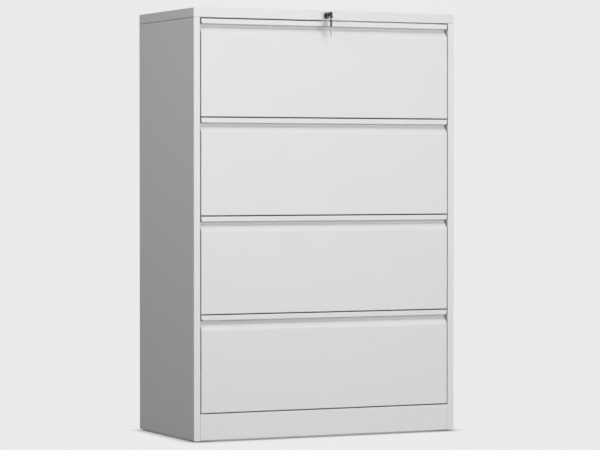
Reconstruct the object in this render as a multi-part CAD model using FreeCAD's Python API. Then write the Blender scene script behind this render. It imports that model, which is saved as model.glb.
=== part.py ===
"""Four-drawer lateral filing cabinet in folded sheet steel, with ball-bearing runners and a central lock.

Millimetres, +Z up, front towards -Y. The origin is the middle of the floor under the whole object,
key included. Drawer 1 is the top drawer.
"""
import FreeCAD, Part
import math
import os

# ---- Driving dimensions -------------------------------------------------------------------------
width = 900.0                # casing, side to side
depth = 450.0                # casing, front face to back
height = 1330.0              # floor to top
drawer_count = 4
plinth_top = 85.0            # top edge of the rail under the bottom drawer
cap_height = 30.0            # apron of the top panel, and the front header
front_gap = 3.0              # reveal round every drawer front
base_gap = 3.5               # casing stands this far off the floor on its feet

# ---- Sheet metal --------------------------------------------------------------------------------
sheet = 1.0                  # casing and drawer sheet
bend = 1.5                   # bend radius on the middle of the sheet
edge_round = 2.0             # outer radius of the folded casing edges
hem = 13.0                   # inward flanges of the casing panels
post_width = 22.0            # face of the front posts
post_return = 20.0           # fold behind the inner edge of a post
rear_flange = 25.0           # side panel's fold on the back

# ---- Uprights and runners -----------------------------------------------------------------------
upright_depth = 30.0         # front to back
upright_gap = 2.0            # behind the fold of the front posts
upright_rear = 20.0          # back face of the casing to the rear uprights
upright_drop = 20.0          # top of the uprights under the top panel's apron
front_screw_inset = 6.0      # back of a front upright to its runner screws
runner_thickness = 12.7
runner_height = 45.0
runner_clear = 3.0           # back of a drawer's liner to the runners
runner_rear = 24.0           # back face of the casing to the runners
runner_rise = 72.0           # bottom of a drawer front to its runner's middle
runner_wall = 1.2
runner_lip = 4.0             # turned-in edge of the outer member
outer_reach = 10.5           # how far the outer member stands off the upright
middle_start = 3.2           # back of the middle member off the upright
middle_reach = 10.0
middle_wall = 1.0
inner_start = 6.0
outer_track = 4.3            # room for the balls between outer and middle member
inner_track = 4.0            # and between middle and inner member
ball_play = 0.7              # diameter play of a ball in its track
ball_hole = 0.2              # radial play of a ball in its cage
ball_pitch = 40.0
balls_per_row = 4
cage_thickness = 1.0
cage_margin = 20.0           # plain cage past the last ball
cage_gap = 0.8               # cage to the members' webs and lips
screw_head = 7.0
screw_head_height = 1.2
screw_shank = 4.0
screw_reach = 6.0            # shank past the upright's face
screw_play = 0.2             # diameter play of plain holes

# ---- Drawers ------------------------------------------------------------------------------------
front_depth = 22.0           # folded box of a drawer front
lip_height = 15.5            # upright band of the finger pull
lip_corner = 7.0             # rounded lower corners of the band
lip_return = 14.0            # fold down behind the band
pull_depth = 18.5            # upright wall at the back of the pull
pull_level = 17.5            # top of that wall below the drawer's top edge
pull_slope = 22.0            # where its slope towards the face begins
pull_bottom = 43.5           # where the pull runs out into the face
pull_soft = 14.0             # radius where it runs out
pull_root = 2.5              # radius at both edges of the back wall
liner_inset = 1.0
tray_lift = 12.0             # bottom of a drawer front to the tray
tray_drop = 42.0             # top of a drawer front to the tray's sides
tray_hem = 11.0
tray_rear = 2.0              # tray ends this far before the runners
rail_thickness = 2.0         # bars that hanging files hook over
rail_height = 18.0
rail_proud = 4.0             # bars stand above the tray's sides
centre_rail_width = 24.0

# ---- Lock, bars and catches ---------------------------------------------------------------------
lock_drop = 15.0             # lock's axis below the top
bezel_diameter = 20.0
bezel_height = 2.0
barrel_diameter = 16.0
barrel_length = 24.0
plug_diameter = 11.0
plug_play = 0.2              # diameter play of the plug in the barrel
plug_proud = 0.6             # plug's face in front of the bezel
plug_tail = 2.0              # plug past the barrel
nut_diameter = 24.0
nut_height = 4.0
keyway_play = 0.5            # keyway wider and higher than the blade
keyway_room = 2.0            # keyway past the blade's tip
cam_thickness = 2.0
cam_hub = 8.0
cam_throw = 10.0             # cam pin's distance from the lock's axis
cam_arm_width = 6.4
pin_diameter = 4.0
slot_play = 0.8              # diameter play of the pins in their slots
cam_screw_head = 7.0
cam_screw_height = 2.0
cam_screw_depth = 5.0
cam_screw_room = 0.5         # screw's end to the bottom of its hole
bar_thickness = 2.0
bar_gap = 1.5                # air between cam and transfer bar, and between the two bars
bar_bottom = 37.0            # transfer bar's lower edge below the top
bar_height = 16.5
bar_tail = 13.0              # transfer bar past its notch
wedge_margin = 6.0           # metal round the inclined slot
lock_pin_inset = 38.0        # lock bar's pin from the casing's side
lock_pin_drop = 37.0         # and below the top
neck_gap = 2.0               # lock bar's neck over the upright
neck_lap = 2.0               # neck's overlap with the bar
lock_bar_width = 14.0
lock_bar_inset = 5.0         # lock bar from the casing's side
lock_bar_tail = 20.0         # lock bar below its last tab
tab_height = 12.0
tab_gap = 2.0                # tab below the catch when unlocked
tab_clear = 3.7              # tab from the tray's side
tab_seat = 0.3               # tab above the end of its slot
tab_slot = 0.6               # slot wider than the tab, each side
tab_room = 1.0               # and higher than the locked tab
catch_rise = 150.0           # bottom of a drawer front to its catch
catch_height = 16.0
catch_reach = 9.7
catch_length = 20.0
catch_wall = 2.0
catch_gap = 1.2              # catch behind the tab
strap_width = 10.0
strap_play = 1.0             # transfer bar in its straps
strap_seat = 0.3
strap_places = (1 / 6, 2 / 5)    # shares of the casing's width
header_rail_setback = 12.0
header_rail_shelf = 24.0
header_rail_inset = 8.0
header_rail_lift = 3.0       # its lower edge above the header's

# ---- Key and ring -------------------------------------------------------------------------------
bow_length = 24.0
bow_height = 20.0
bow_thickness = 4.0
bow_corner = 5.0
bow_hole = 8.0
bow_hole_inset = 7.0         # hole's middle from the end of the bow
bow_stand = 14.0             # bow in front of the casing's front
blade_height = 7.4
blade_thickness = 2.1
blade_end = 17.5             # blade behind the casing's front
bit_pitch = 3.6
bit_depths = (0.9, 1.5)      # by turns
bit_count = 4
ring_diameter = 16.0         # small enough to hang clear above the top drawer's front
ring_wire = 1.6
ring_play = 0.3              # wire to the edges of a bow's hole
ring_twist = -20.0           # how far the ring hangs turned, degrees

# ---- Feet ---------------------------------------------------------------------------------------
foot_inset = 45.0
foot_diameter = 38.0
foot_height = 8.0
foot_edge = 1.5
foot_stem = 10.0
foot_stem_top = 48.0
foot_play = 0.6              # diameter play of a stem in the floor panel
foot_nut_width = 17.0
foot_nut_height = 8.0
floor_level = 30.0           # underside of the floor panel
floor_skirt = 15.0

# ---- Worked out from the above ------------------------------------------------------------------
twist = math.radians(ring_twist)
key_reach = bow_stand + bow_length
ring_stand = key_reach - bow_hole_inset
front_y = (key_reach - depth) / 2
back_y = front_y + depth
half_width = width / 2
past = 1.0                                   # how far a cut runs past the metal
wall_x = half_width - sheet                  # inner face of a side panel
opening_x = half_width - post_width          # drawer opening, and the uprights' faces
cap_bottom = height - cap_height
drawer_pitch = (cap_bottom - plinth_top - front_gap) / drawer_count
front_height = drawer_pitch - front_gap
front_x = opening_x - front_gap
tray_x = opening_x - runner_thickness
tray_front = front_y + front_depth + sheet
runner_y = tray_front + runner_clear
runner_end = back_y - runner_rear
tray_back = runner_end - tray_rear
floor_top = floor_level + sheet
upright_top = cap_bottom - upright_drop
lock_z = height - lock_drop
barrel_back = front_y + barrel_length
plug_back = barrel_back + plug_tail
cam_back = plug_back + cam_thickness
bar_y = cam_back + bar_gap
lock_bar_y = bar_y + bar_thickness + bar_gap
catch_y = lock_bar_y + bar_thickness + catch_gap
pin_offset = cam_throw * math.sin(math.pi / 4)
lock_travel = 2 * pin_offset
slot_width = pin_diameter + slot_play
front_upright_y = front_y + post_return + upright_gap
rear_upright_y = back_y - upright_rear - upright_depth
screw_ys = (front_upright_y + upright_depth - front_screw_inset, rear_upright_y + upright_depth / 2)
middle_height = runner_height - 2 * (runner_wall + outer_track)
inner_height = middle_height - 2 * (middle_wall + inner_track)
keyway_width = blade_thickness + keyway_play
keyway_height = blade_height + keyway_play
keyway_end = front_y + blade_end + keyway_room


# ---- Shapes -------------------------------------------------------------------------------------
def vector(x, y, z):
    """A point or direction."""
    return FreeCAD.Vector(x, y, z)


def box(x0, x1, y0, y1, z0, z1):
    """Block between two opposite corners."""
    return Part.makeBox(x1 - x0, y1 - y0, z1 - z0, vector(x0, y0, z0))


def rod(diameter, start, end):
    """Round bar between two points."""
    return Part.makeCylinder(diameter / 2, (end - start).Length, start, end - start)


def on_axis(diameter, y0, y1):
    """Round bar on the lock's axis."""
    return rod(diameter, vector(0, y0, lock_z), vector(0, y1, lock_z))


def mirrored(shape):
    """The same piece for the other side of the cabinet."""
    return shape.mirror(vector(0, 0, 0), vector(1, 0, 0))


def edges_where(shape, test):
    """Edges whose two ends both pass the test."""
    return [edge for edge in shape.Edges if all(test(vertex.Point) for vertex in edge.Vertexes)]


def near(a, b):
    """Whether two lengths are the same."""
    return abs(a - b) < 1e-6


def in_yz(x):
    """Places a profile of (y, z) points at x."""
    return lambda y, z: vector(x, y, z)


def in_xz(y):
    """Places a profile of (x, z) points at y."""
    return lambda x, z: vector(x, y, z)


def side_line(points, radii, offset):
    """Edges of a line beside a bent mid-line, to its left by the offset. Each inner point is a bend."""
    def left(direction):
        return vector(-direction.y, direction.x, 0)

    flat = [vector(a, b, 0) for a, b in points]
    ways = [(q - p).normalize() for p, q in zip(flat, flat[1:])]
    start = flat[0] + left(ways[0]) * offset
    pieces = []
    for corner, radius, before, after in zip(flat[1:], radii, ways, ways[1:]):
        turn = math.atan2(before.x * after.y - before.y * after.x, before.dot(after))
        reach = radius * math.tan(abs(turn) / 2)
        sign = math.copysign(1, turn)
        centre = corner - before * reach + left(before) * (radius * sign)
        arc_start = corner - before * reach + left(before) * offset
        arc_end = corner + after * reach + left(after) * offset
        arc_middle = centre + (corner - centre).normalize() * (radius - offset * sign)
        pieces.append((start, arc_start))
        pieces.append((arc_start, arc_middle, arc_end))
        start = arc_end
    pieces.append((start, flat[-1] + left(ways[-1]) * offset))
    return pieces


def folded(points, place, length, radii=None, thickness=sheet):
    """Sheet folded along a mid-line of points, carried along a length vector."""
    radii = radii or [bend] * (len(points) - 2)
    upper = side_line(points, radii, thickness / 2)
    lower = side_line(points, radii, -thickness / 2)
    outline = upper + [(upper[-1][-1], lower[-1][-1])]
    outline += [piece[::-1] for piece in reversed(lower)]
    outline += [(lower[0][0], upper[0][0])]
    edges = []
    for piece in outline:
        ends = [place(point.x, point.y) for point in piece]
        curve = Part.Arc(*ends) if len(ends) == 3 else Part.LineSegment(*ends)
        edges.append(curve.toShape())
    return Part.Face(Part.Wire(edges)).extrude(length)


def slot_block(start, end, diameter, y0, y1):
    """Round-ended slot between two (x, z) points, through from y0 to y1."""
    (xa, za), (xb, zb) = start, end
    length = math.hypot(xb - xa, zb - za)
    body = box(0, length, y0, y1, -diameter / 2, diameter / 2)
    body.rotate(vector(0, 0, 0), vector(0, 1, 0), -math.degrees(math.atan2(zb - za, xb - xa)))
    body.translate(vector(xa, 0, za))
    ends = [rod(diameter, vector(x, y0, z), vector(x, y1, z)) for x, z in (start, end)]
    return body.fuse(ends)


def drawer_top(number):
    """Top edge of a drawer front."""
    return cap_bottom - front_gap - (number - 1) * drawer_pitch


def drawer_bottom(number):
    """Bottom edge of a drawer front."""
    return drawer_top(number) - front_height


drawers = range(1, drawer_count + 1)


# ---- Casing -------------------------------------------------------------------------------------
def top_panel():
    """Cap: a pan turned upside down, its front apron the header that holds the lock."""
    block = box(-half_width, half_width, front_y, back_y, cap_bottom, height)
    header_edge = edges_where(block, lambda p: near(p.z, cap_bottom) and near(p.y, front_y))[0]
    block = block.makeFillet(edge_round, [edge for edge in block.Edges if not edge.isSame(header_edge)])
    hollow = box(-wall_x, wall_x, front_y + sheet, back_y - sheet, cap_bottom + sheet, height - sheet)
    mouth = box(-half_width + hem, half_width - hem, front_y + hem, back_y - hem,
                cap_bottom - past, cap_bottom + sheet + past)
    lock_hole = on_axis(barrel_diameter + screw_play, front_y - past, front_y + sheet + past)
    return block.cut([hollow, mouth, lock_hole])


def side_panel():
    """Left side, folded into the front post and the rear flange, with flanges at top and bottom."""
    inner = -half_width + rear_flange
    block = box(-half_width, inner, front_y, back_y, base_gap, cap_bottom)
    rounds = edges_where(block, lambda p: near(p.x, -half_width))
    block = block.makeFillet(edge_round, rounds)
    low, high = base_gap - past, cap_bottom + past
    hollow = box(-wall_x, inner + past, front_y + sheet, back_y - sheet, base_gap + sheet, cap_bottom - sheet)
    spare_front = box(-opening_x - sheet, inner + past, front_y - past, front_y + sheet + past, low, high)
    spare_flanges = box(-half_width + hem, inner + past, front_y + sheet, back_y - sheet, low, high)
    post_start = -opening_x - 2 * edge_round
    post = box(post_start, -opening_x, front_y, front_y + post_return, base_gap, cap_bottom)
    inner_edge = edges_where(post, lambda p: near(p.x, -opening_x) and near(p.y, front_y))
    post = post.makeFillet(edge_round, inner_edge)
    post = post.cut(box(post_start - past, -opening_x - sheet, front_y + sheet, back_y, low, high))
    return block.cut([hollow, spare_front, spare_flanges]).fuse(post).removeSplitter()


def back_panel():
    """Flat back, welded inside the rear flanges of the sides."""
    return box(-wall_x, wall_x, back_y - 2 * sheet, back_y - sheet, base_gap + sheet, cap_bottom - sheet)


def floor_panel():
    """Floor pan with its skirts turned down, bored for the levelling feet."""
    front, back = front_y + post_return + sheet, back_y - 2 * sheet
    pan = box(-wall_x, wall_x, front, back, floor_top - floor_skirt, floor_top)
    pan = pan.cut(box(-wall_x + sheet, wall_x - sheet, front + sheet, back - sheet,
                      floor_top - floor_skirt - past, floor_level))
    holes = [rod(foot_stem + foot_play, vector(x, y, floor_level - past), vector(x, y, floor_top + past))
             for x, y in foot_places()]
    return pan.cut(holes)


def plinth_rail():
    """Rail between the posts under the bottom drawer."""
    middle = sheet / 2
    points = [(front_y + hem, base_gap + middle),
              (front_y + middle, base_gap + middle),
              (front_y + middle, plinth_top - middle),
              (front_y + front_depth, plinth_top - middle)]
    return folded(points, in_yz(-opening_x), vector(2 * opening_x, 0, 0))


def header_rail():
    """Stiffener behind the header, with the straps that the transfer bar slides in."""
    middle = sheet / 2
    web_y = front_y + header_rail_setback + middle
    shelf_z = height - sheet - middle
    reach = opening_x - header_rail_inset
    points = [(web_y, cap_bottom + header_rail_lift), (web_y, shelf_z), (web_y + header_rail_shelf, shelf_z)]
    rail = folded(points, in_yz(-reach), vector(2 * reach, 0, 0))
    rail = rail.cut(on_axis(barrel_diameter + 2 * screw_play, web_y - sheet - past, web_y + sheet + past))
    low = height - bar_bottom - strap_seat - middle
    near_y = bar_y - strap_play - middle
    far_y = bar_y + bar_thickness + strap_play + middle
    loop = [(near_y, shelf_z), (near_y, low), (far_y, low), (far_y, shelf_z)]
    straps = [folded(loop, in_yz(share * width - strap_width / 2), vector(strap_width, 0, 0))
              for share in strap_places]
    return rail.fuse(straps).removeSplitter()


def upright(y, holds_lock_bar=False):
    """Left upright: a channel against the side panel, its web bored for the runners."""
    middle = sheet / 2
    x = -opening_x - middle
    points = [(-wall_x, y + middle), (x, y + middle),
              (x, y + upright_depth - middle), (-wall_x, y + upright_depth - middle)]
    web = folded(points, lambda a, b: vector(a, b, floor_top), vector(0, 0, upright_top - floor_top))
    outside, inside = -opening_x - sheet - past, -opening_x + past
    own_screws = [screw_y for screw_y in screw_ys if y < screw_y < y + upright_depth]
    cuts = []
    for number in drawers:
        z = drawer_bottom(number) + runner_rise
        cuts += [rod(screw_shank + screw_play, vector(inside, screw_y, z), vector(outside, screw_y, z))
                 for screw_y in own_screws]
        if holds_lock_bar:
            low, high = tab_span(number)
            cuts.append(box(outside, inside, lock_bar_y - tab_slot, lock_bar_y + bar_thickness + tab_slot,
                            low - tab_seat, high + lock_travel + tab_room))
    return web.cut(cuts)


# ---- Runners ------------------------------------------------------------------------------------
def channel(start, reach, half_height, wall, opens_inward, y0, y1, lip=0.0):
    """Left-hand runner member: a web with two flanges, and lips on the outer one."""
    web_x = start if opens_inward else reach - wall
    pieces = [box(web_x, web_x + wall, y0, y1, -half_height, half_height)]
    for low in (-half_height, half_height - wall):
        pieces.append(box(start, reach, y0, y1, low, low + wall))
    if lip:
        for low in (-half_height, half_height - lip):
            pieces.append(box(reach - wall, reach, y0, y1, low, low + lip))
    member = pieces[0].fuse(pieces[1:]).removeSplitter()
    member.translate(vector(-opening_x, 0, 0))
    return member


def at_runner(shape, number):
    """Raises a runner piece to its drawer's level."""
    moved = shape.copy()
    moved.translate(vector(0, 0, drawer_bottom(number) + runner_rise))
    return moved


def outer_member():
    """Outer member, screwed to the uprights."""
    member = channel(0, outer_reach, runner_height / 2, runner_wall, True, runner_y, runner_end, runner_lip)
    outside, inside = -opening_x - past, -opening_x + runner_wall + past
    holes = [rod(screw_shank + screw_play, vector(outside, y, 0), vector(inside, y, 0)) for y in screw_ys]
    return member.cut(holes)


def middle_member():
    """Middle member, which rolls between the other two."""
    return channel(middle_start, middle_reach, middle_height / 2, middle_wall, True, runner_y, runner_end)


def inner_member():
    """Inner member, fixed to the drawer's side."""
    return channel(inner_start, runner_thickness, inner_height / 2, runner_wall, False, runner_y, runner_end)


def ball_row(x_low, x_high, low, high, first_y):
    """A cage strip with its balls, between a lower and an upper track."""
    x, z = (x_low + x_high) / 2, (low + high) / 2
    diameter = high - low - ball_play
    strip_length = (balls_per_row - 1) * ball_pitch + 2 * cage_margin
    strip = box(x_low, x_high, first_y - cage_margin, first_y - cage_margin + strip_length,
                z - cage_thickness / 2, z + cage_thickness / 2)
    centres = [vector(x, first_y + index * ball_pitch, z) for index in range(balls_per_row)]
    up = vector(0, 0, cage_thickness)
    holes = [rod(diameter + 2 * ball_hole, c - up, c + up) for c in centres]
    return [strip.cut(holes)] + [Part.makeSphere(diameter / 2, c) for c in centres]


def ball_rows():
    """Outer and inner rows of one left-hand runner, above and below its middle."""
    outer_low, outer_high = middle_height / 2, runner_height / 2 - runner_wall
    inner_low, inner_high = inner_height / 2, middle_height / 2 - middle_wall
    row_length = (balls_per_row - 1) * ball_pitch
    outer_x = runner_wall + cage_gap - opening_x, outer_reach - runner_wall - cage_gap - opening_x
    inner_x = (middle_start + middle_wall + cage_gap - opening_x,
               runner_thickness - runner_wall - cage_gap - opening_x)
    rows = ball_row(*outer_x, outer_low, outer_high, runner_end - 2 * cage_margin - row_length)
    rows += ball_row(*inner_x, inner_low, inner_high, runner_y + 2 * cage_margin)
    lower = [piece.mirror(vector(0, 0, 0), vector(0, 0, 1)) for piece in rows]
    return rows + lower


def runner_screw(y, z):
    """Pan-head screw that holds an outer member to an upright."""
    seat = -opening_x + runner_wall
    head = rod(screw_head, vector(seat, y, z), vector(seat + screw_head_height, y, z))
    shank = rod(screw_shank, vector(seat, y, z), vector(-opening_x - screw_reach, y, z))
    return head.fuse(shank).removeSplitter()


# ---- Drawers ------------------------------------------------------------------------------------
def drawer_front(number):
    """Front skin: one sheet folded into the finger pull, the face and the box behind it."""
    top, bottom, middle = drawer_top(number), drawer_bottom(number), sheet / 2
    profile = [(front_depth - middle, lip_return), (front_depth - middle, middle), (middle, middle),
               (middle, lip_height), (pull_depth, pull_level), (pull_depth, pull_slope),
               (middle, pull_bottom), (middle, front_height - middle), (front_depth, front_height - middle)]
    points = [(front_y + inward, top - down) for inward, down in profile]
    radii = [bend, bend, bend, pull_root, pull_root, pull_soft, bend]
    skin = folded(points, in_yz(-front_x), vector(2 * front_x, 0, 0), radii)
    corners = []
    for side in (-1, 1):
        end = side * front_x
        centre = end - side * lip_corner
        level = top - lip_height
        square = box(min(end, centre) - 1e-3, max(end, centre) + 1e-3, front_y - 1, front_y + lip_corner,
                     level - 2 * sheet, level + lip_corner)
        curve = rod(2 * lip_corner, vector(centre, front_y - 2, level + lip_corner),
                    vector(centre, front_y + 2 * lip_corner, level + lip_corner))
        corners.append(square.cut(curve))
    skin = skin.cut(corners)
    cheek_points = [(front_depth, pull_slope), (pull_depth, pull_slope), (middle, pull_bottom),
                    (middle, front_height - middle), (front_depth, front_height - middle)]
    cheek_wire = Part.makePolygon([vector(-front_x, front_y + inward, top - down)
                                   for inward, down in cheek_points + cheek_points[:1]])
    cheek = Part.Face(cheek_wire).extrude(vector(sheet, 0, 0))
    return skin.fuse([cheek, mirrored(cheek)]).removeSplitter()


def drawer_liner(number):
    """Inner sheet that closes the box of the front."""
    reach = front_x - liner_inset
    return box(-reach, reach, front_y + front_depth, tray_front,
               drawer_bottom(number) + liner_inset, drawer_top(number) - liner_inset)


def tray_levels(number):
    """Underside of a tray, and the top of its sides."""
    return drawer_bottom(number) + tray_lift, drawer_top(number) - tray_drop


def drawer_tray(number):
    """Tray: bottom and both sides folded from one sheet, with hems turned in."""
    low, high = tray_levels(number)
    middle = sheet / 2
    x = tray_x - middle
    points = [(-tray_x + tray_hem, high - middle), (-x, high - middle), (-x, low + middle),
              (x, low + middle), (x, high - middle), (tray_x - tray_hem, high - middle)]
    return folded(points, in_xz(tray_front), vector(0, tray_back - tray_front, 0))


def drawer_back(number):
    """Back of the tray."""
    low, high = tray_levels(number)
    reach = tray_x - sheet
    wide = box(-reach, reach, tray_back - sheet, tray_back, low + sheet + bend, high - sheet - bend)
    tall = box(-reach + 2 * bend, reach - 2 * bend, tray_back - sheet, tray_back, low + sheet, high - sheet)
    return wide.fuse(tall).removeSplitter()


def file_rails(number):
    """Bars for hanging files: one along each side, and a double one in the middle."""
    high = tray_levels(number)[1]
    top = high + rail_proud
    back = tray_back - sheet
    edge = -tray_x + tray_hem
    side = box(edge, edge + rail_thickness, tray_front, back, top - rail_height, top)
    half = (centre_rail_width - sheet) / 2
    points = [(-half, top), (-half, top - rail_height + sheet / 2),
              (half, top - rail_height + sheet / 2), (half, top)]
    centre = folded(points, in_xz(tray_front), vector(0, back - tray_front, 0))
    return [side, centre, mirrored(side)]


def drawer_catch(number):
    """Bracket on the right side of the tray, which the lock bar's tab stops."""
    low = drawer_bottom(number) + catch_rise
    plate = box(tray_x, tray_x + catch_wall, catch_y, catch_y + catch_length, low, low + catch_height)
    lug = box(tray_x, tray_x + catch_reach, catch_y, catch_y + catch_wall, low, low + catch_height)
    return plate.fuse(lug).removeSplitter()


# ---- Lock ---------------------------------------------------------------------------------------
def lock_barrel():
    """Barrel with its bezel, bored for the plug."""
    body = on_axis(bezel_diameter, front_y - bezel_height, front_y)
    body = body.makeFillet(bezel_height / 3, edges_where(body, lambda p: near(p.y, front_y - bezel_height)))
    body = body.fuse(on_axis(barrel_diameter, front_y, barrel_back)).removeSplitter()
    return body.cut(on_axis(plug_diameter + plug_play, front_y - bezel_height - past, barrel_back + past))


def lock_nut():
    """Ring nut that clamps the barrel in the header."""
    start = front_y + sheet
    return on_axis(nut_diameter, start, start + nut_height).cut(
        on_axis(barrel_diameter + screw_play, start - past, start + nut_height + past))


def lock_plug():
    """Plug that the key turns, with its keyway in front and a tapped hole behind."""
    face = front_y - bezel_height - plug_proud
    body = on_axis(plug_diameter, face, plug_back)
    keyway = box(-keyway_width / 2, keyway_width / 2, face - past, keyway_end,
                 lock_z - keyway_height / 2, lock_z + keyway_height / 2)
    tapping = on_axis(screw_shank + screw_play, plug_back - cam_screw_depth, plug_back + past)
    return body.cut([keyway, tapping])


def lock_cam():
    """Cam on the plug's tail with its drive pin, and the screw that holds it."""
    pin_x, pin_z = pin_offset, lock_z - pin_offset
    plate = on_axis(2 * cam_hub, plug_back, cam_back)
    arm = slot_block((0, lock_z), (pin_x, pin_z), cam_arm_width, plug_back, cam_back)
    pin_tip = bar_y + bar_thickness + bar_gap / 2
    pin = rod(pin_diameter, vector(pin_x, plug_back, pin_z), vector(pin_x, pin_tip, pin_z))
    cam = plate.fuse([arm, pin]).removeSplitter()
    cam = cam.cut(on_axis(screw_shank + screw_play, plug_back - past, cam_back + past))
    head = on_axis(cam_screw_head, cam_back, cam_back + cam_screw_height)
    shank = on_axis(screw_shank, plug_back - cam_screw_depth + cam_screw_room, cam_back)
    return [cam, head.fuse(shank).removeSplitter()]


def transfer_bar():
    """Bar across the cabinet: a notch for the cam's pin, and an inclined slot for the lock bar's."""
    low = height - bar_bottom
    high = low + bar_height
    pin_x, pin_z = lock_pin_place()
    wedge_end = pin_x + lock_travel + wedge_margin
    y0, y1 = bar_y, bar_y + bar_thickness
    bar = box(pin_offset - bar_tail, wedge_end, y0, y1, low, high)
    wedge = box(pin_x - wedge_margin, wedge_end, y0, y1,
                pin_z - wedge_margin, pin_z + lock_travel + wedge_margin)
    lowest_pin = lock_z - cam_throw
    notch_end = (pin_offset, high + slot_width)
    slot_end = (pin_x + lock_travel, pin_z + lock_travel)
    notch = slot_block((pin_offset, lowest_pin), notch_end, slot_width, y0 - past, y1 + past)
    slot = slot_block((pin_x, pin_z), slot_end, slot_width, y0 - past, y1 + past)
    return bar.fuse(wedge).removeSplitter().cut([notch, slot])


def lock_pin_place():
    """The lock bar's pin when unlocked, as x and z."""
    return half_width - lock_pin_inset, height - lock_pin_drop


def tab_span(number):
    """Bottom and top of a lock tab when unlocked."""
    high = drawer_bottom(number) + catch_rise - tab_gap
    return high - tab_height, high


def lock_bar():
    """Upright bar in the right front upright, with a tab for each drawer and a pin at its head."""
    outer = half_width - lock_bar_inset
    inner = outer - lock_bar_width
    y0, y1 = lock_bar_y, lock_bar_y + bar_thickness
    pin_x, pin_z = lock_pin_place()
    foot = tab_span(drawer_count)[0] - lock_bar_tail
    neck = upright_top + neck_gap
    neck_end = half_width - hem - sheet
    pieces = [box(pin_x - wedge_margin, neck_end, y0, y1, neck, pin_z + wedge_margin)]
    for number in drawers:
        low, high = tab_span(number)
        pieces.append(box(tray_x + tab_clear, inner, y0, y1, low, high))
    pieces.append(rod(pin_diameter, vector(pin_x, bar_y - bar_gap / 2, pin_z), vector(pin_x, y1, pin_z)))
    return box(inner, outer, y0, y1, foot, neck + neck_lap).fuse(pieces).removeSplitter()


# ---- Key and ring -------------------------------------------------------------------------------
def key_bow():
    """The key's moulded bow, with a hole for the ring."""
    half = bow_height / 2
    bow_end = front_y - key_reach
    bow = box(-bow_thickness / 2, bow_thickness / 2, bow_end, front_y - bow_stand,
              lock_z - half, lock_z + half)
    bow = bow.makeFillet(bow_corner, [edge for edge in bow.Edges if near(edge.Length, bow_thickness)])
    hole_y = front_y - ring_stand
    hole = rod(bow_hole, vector(-bow_thickness, hole_y, lock_z), vector(bow_thickness, hole_y, lock_z))
    return bow.cut(hole)


def key_blade():
    """The key's blade, from the bow to its tip, with notches along its lower edge."""
    tip = front_y + blade_end
    low = lock_z - blade_height / 2
    half = blade_thickness / 2
    blade = box(-half, half, front_y - bow_stand, tip, low, low + blade_height)
    notches = []
    for index in range(1, bit_count + 1):
        y, cut = tip - index * bit_pitch, bit_depths[index % 2]
        corners = [(y - cut, low), (y, low + cut), (y + cut, low), (y, low - cut), (y - cut, low)]
        outline = Part.makePolygon([vector(-half - past, a, b) for a, b in corners])
        notches.append(Part.Face(outline).extrude(vector(2 * (half + past), 0, 0)))
    return blade.cut(notches)


def key_ring():
    """Split ring, closed, hanging from the bow's hole clear of the hole's edges."""
    radius = (ring_diameter - ring_wire) / 2
    half_chord = bow_thickness / 2 / math.cos(twist)
    sag = radius - math.sqrt(radius ** 2 - half_chord ** 2)
    hang = bow_hole / 2 - ring_wire / 2 - ring_play - sag
    ring = Part.makeTorus(radius, ring_wire / 2, vector(0, 0, 0), vector(0, 1, 0))
    ring.rotate(vector(0, 0, 0), vector(0, 0, 1), ring_twist)
    ring.translate(vector(0, front_y - ring_stand, lock_z - hang - radius))
    return ring


# ---- Feet ---------------------------------------------------------------------------------------
def foot_places():
    """Middles of the four feet."""
    return [(x, y) for x in (-half_width + foot_inset, half_width - foot_inset)
            for y in (front_y + foot_inset, back_y - foot_inset)]


def levelling_foot(x, y):
    """Pad and threaded stem in one."""
    pad = rod(foot_diameter, vector(x, y, 0), vector(x, y, foot_height))
    pad = pad.makeFillet(foot_edge, edges_where(pad, lambda p: near(p.z, foot_height)))
    return pad.fuse(rod(foot_stem, vector(x, y, foot_height), vector(x, y, foot_stem_top))).removeSplitter()


def levelling_nut(x, y):
    """Hexagon nut welded to the floor panel."""
    radius = foot_nut_width / 2 / math.cos(math.pi / 6)
    angles = [k * math.pi / 3 for k in range(7)]
    corners = [vector(x + radius * math.cos(a), y + radius * math.sin(a), floor_top) for a in angles]
    nut = Part.Face(Part.makePolygon(corners)).extrude(vector(0, 0, foot_nut_height))
    return nut.cut(rod(foot_stem + screw_play, vector(x, y, floor_top - past),
                       vector(x, y, floor_top + foot_nut_height + past)))


# ---- Assembly -----------------------------------------------------------------------------------
def save(name, solids):
    """Writes one sub-part, a solid or a group of them."""
    shape = Part.makeCompound(solids) if isinstance(solids, list) else solids
    shape.exportStep(os.path.join("parts", name + ".step"))


def both_sides(solids):
    """The left-hand pieces and their mirror images."""
    return solids + [mirrored(solid) for solid in solids]


os.makedirs("parts", exist_ok=True)
left_side = side_panel()
save("top_panel", top_panel())
save("side_panel_left", left_side)
save("side_panel_right", mirrored(left_side))
save("back_panel", back_panel())
save("floor_panel", floor_panel())
save("plinth_rail", plinth_rail())
save("header_rail", header_rail())
save("upright_front_left", upright(front_upright_y))
save("upright_front_right", mirrored(upright(front_upright_y, holds_lock_bar=True)))
save("upright_rear_left", upright(rear_upright_y))
save("upright_rear_right", mirrored(upright(rear_upright_y)))
save("levelling_feet", [levelling_foot(x, y) for x, y in foot_places()])
save("levelling_nuts", [levelling_nut(x, y) for x, y in foot_places()])

save("lock_barrel", lock_barrel())
save("lock_nut", lock_nut())
save("lock_plug", lock_plug())
save("lock_cam", lock_cam())
save("transfer_bar", transfer_bar())
save("lock_bar", lock_bar())
save("key_bow", key_bow())
save("key_blade", key_blade())
save("key_ring", key_ring())

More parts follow.
